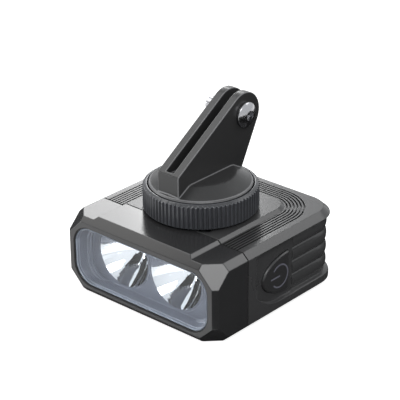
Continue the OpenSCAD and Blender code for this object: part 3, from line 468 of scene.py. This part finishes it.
# Boards: the driver board, the port board and the switch board, all of glass fibre under
# a green mask, with their parts soldered on.
green_mask = grained("green_mask", colour=(0.02, 0.16, 0.07), worn=(0.03, 0.2, 0.09), roughness=0.3)
coat(green_mask, "driver_board", "usb_board", "switch_board")

# Wiring: two pairs of wires in red rubber sleeves, and a flat film lead over the battery
# to the charging port.
wire_sleeve = grained("wire_sleeve", colour=(0.45, 0.02, 0.02), worn=(0.5, 0.03, 0.03), roughness=0.45)
coat(wire_sleeve, "led_wires", "battery_wires")
ribbon_film = grained("ribbon_film", colour=(0.6, 0.34, 0.07), worn=(0.65, 0.38, 0.1), roughness=0.25)
coat(ribbon_film, "port_ribbon")

# Battery: two flat cells shrunk into one blue film. It rests on two strips of black foam,
# so that it can't rattle.
cell_wrap = grained("cell_wrap", colour=(0.12, 0.22, 0.42), worn=(0.15, 0.26, 0.47), roughness=0.25,
                    grain=2000)
coat(cell_wrap, "battery_pack")
foam = grained("foam", colour=(0.05, 0.05, 0.05), worn=(0.08, 0.08, 0.08), roughness=0.9, grain=2500,
               bump=0.6)
coat(foam, "battery_foam")

# Charging port: a drawn steel socket in the back of the case, and the moulded rubber
# cover that plugs it, tied to the case by its strap.
socket_steel = grained("socket_steel", colour=(0.6, 0.61, 0.63), worn=(0.68, 0.69, 0.7),
                       roughness=0.22, Metallic=1.0)
coat(socket_steel, "usb_socket")
cover_rubber = grained("cover_rubber", colour=(0.012, 0.012, 0.012), worn=(0.02, 0.02, 0.02),
                       roughness=0.55, grain=6000, bump=0.12)
coat(cover_rubber, "port_strap")
cover = take_up("port_cover", whole=False)
cover.data.materials.append(cover_rubber)
break_edges(cover, width=0.00018)
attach(cover, "port_cover")
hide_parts("port_cover")

# Switch: a small black tact switch on its board, the pale nylon plunger that the button
# pushes, and a rubber seal round the plunger.
plunger_nylon = grained("plunger_nylon", colour=(0.7, 0.69, 0.63), worn=(0.74, 0.73, 0.68), roughness=0.5)
coat(gasket_rubber, "tact_switch", "button_seal")
coat(plunger_nylon, "switch_plunger")

# Button: an anodised fin-shaped cap with a rounded rim, pushed from the right side of
# the case. Its sign is printed in pale ink.
button_black = grained("button_black", colour=(0.030, 0.030, 0.031), worn=(0.036, 0.036, 0.037),
                       roughness=0.3)
button = take_up("side_button")
button.data.materials.append(button_black)
break_edges(button, width=0.00018)
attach(button, "button")
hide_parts("side_button")
sign_ink = grained("sign_ink", colour=(0.12, 0.12, 0.15), worn=(0.14, 0.14, 0.17), roughness=0.5)
coat(sign_ink, "button_symbol")

# Boss: the round foot under the ring, screwed to the case, with its bayonet lugs. A tan
# nylon washer lets the fork swivel on it, and a bright plate under the foot holds the fork.
coat(anodised_case, "mount_boss")
washer_tan = grained("washer_tan", colour=(0.36, 0.3, 0.16), worn=(0.4, 0.34, 0.2), roughness=0.5)
coat(washer_tan, "friction_washer")
coat(milled_aluminium, "retainer_plate")

# Lock ring: turned from aluminium, with eighty straight teeth cut round it, and anodised
# a cooler black. Its broken edges, the crests of the teeth among them, take a lighter
# colour as painted highlight.
ring_black = grained("ring_black", colour=(0.036, 0.037, 0.042), worn=(0.044, 0.046, 0.050), roughness=0.3)
ring_painted_highlight = grained("ring_painted_highlight", colour=(0.10, 0.105, 0.12), worn=(0.12, 0.126, 0.14), roughness=0.25)
ring = take_up("lock_ring")
ring.data.materials.append(ring_black)
ring.data.materials.append(ring_painted_highlight)
break_edges(ring, width=0.00007, segments=1)
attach(ring, "lock_ring")
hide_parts("lock_ring")

# Fork: a machined foot with two prongs, anodised black; its broken edges, the rails and
# the rim of the foot among them, take a lighter colour as painted highlight.
fork_black = grained("fork_black", colour=(0.027, 0.027, 0.0275), worn=(0.032, 0.032, 0.0325),
                     roughness=0.32, Specular_IOR_Level=0.38)
fork_painted_highlight = grained("fork_painted_highlight", colour=(0.15, 0.15, 0.155), worn=(0.18, 0.18, 0.185), roughness=0.3)
fork = take_up("fork_mount")
fork.data.materials.append(fork_black)
fork.data.materials.append(fork_painted_highlight)
break_edges(fork, width=0.0003)
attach(fork, "fork")
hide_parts("fork_mount")

# Pivot bolt: a bright steel button-head bolt across the two prongs. Its shank is turned
# to slide in their bores, and its head is polished.
bright_steel = grained("bright_steel", colour=(0.36, 0.36, 0.38), worn=(0.45, 0.45, 0.46), roughness=0.2,
                       change=0.08, grain=5000, bump=0.02, Metallic=1.0)
bolt = take_up("pivot_bolt")
bolt.data.materials.append(bright_steel)
break_edges(bolt, width=0.00015)
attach(bolt, "pivot_bolt")
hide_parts("pivot_bolt")

clean_selection()
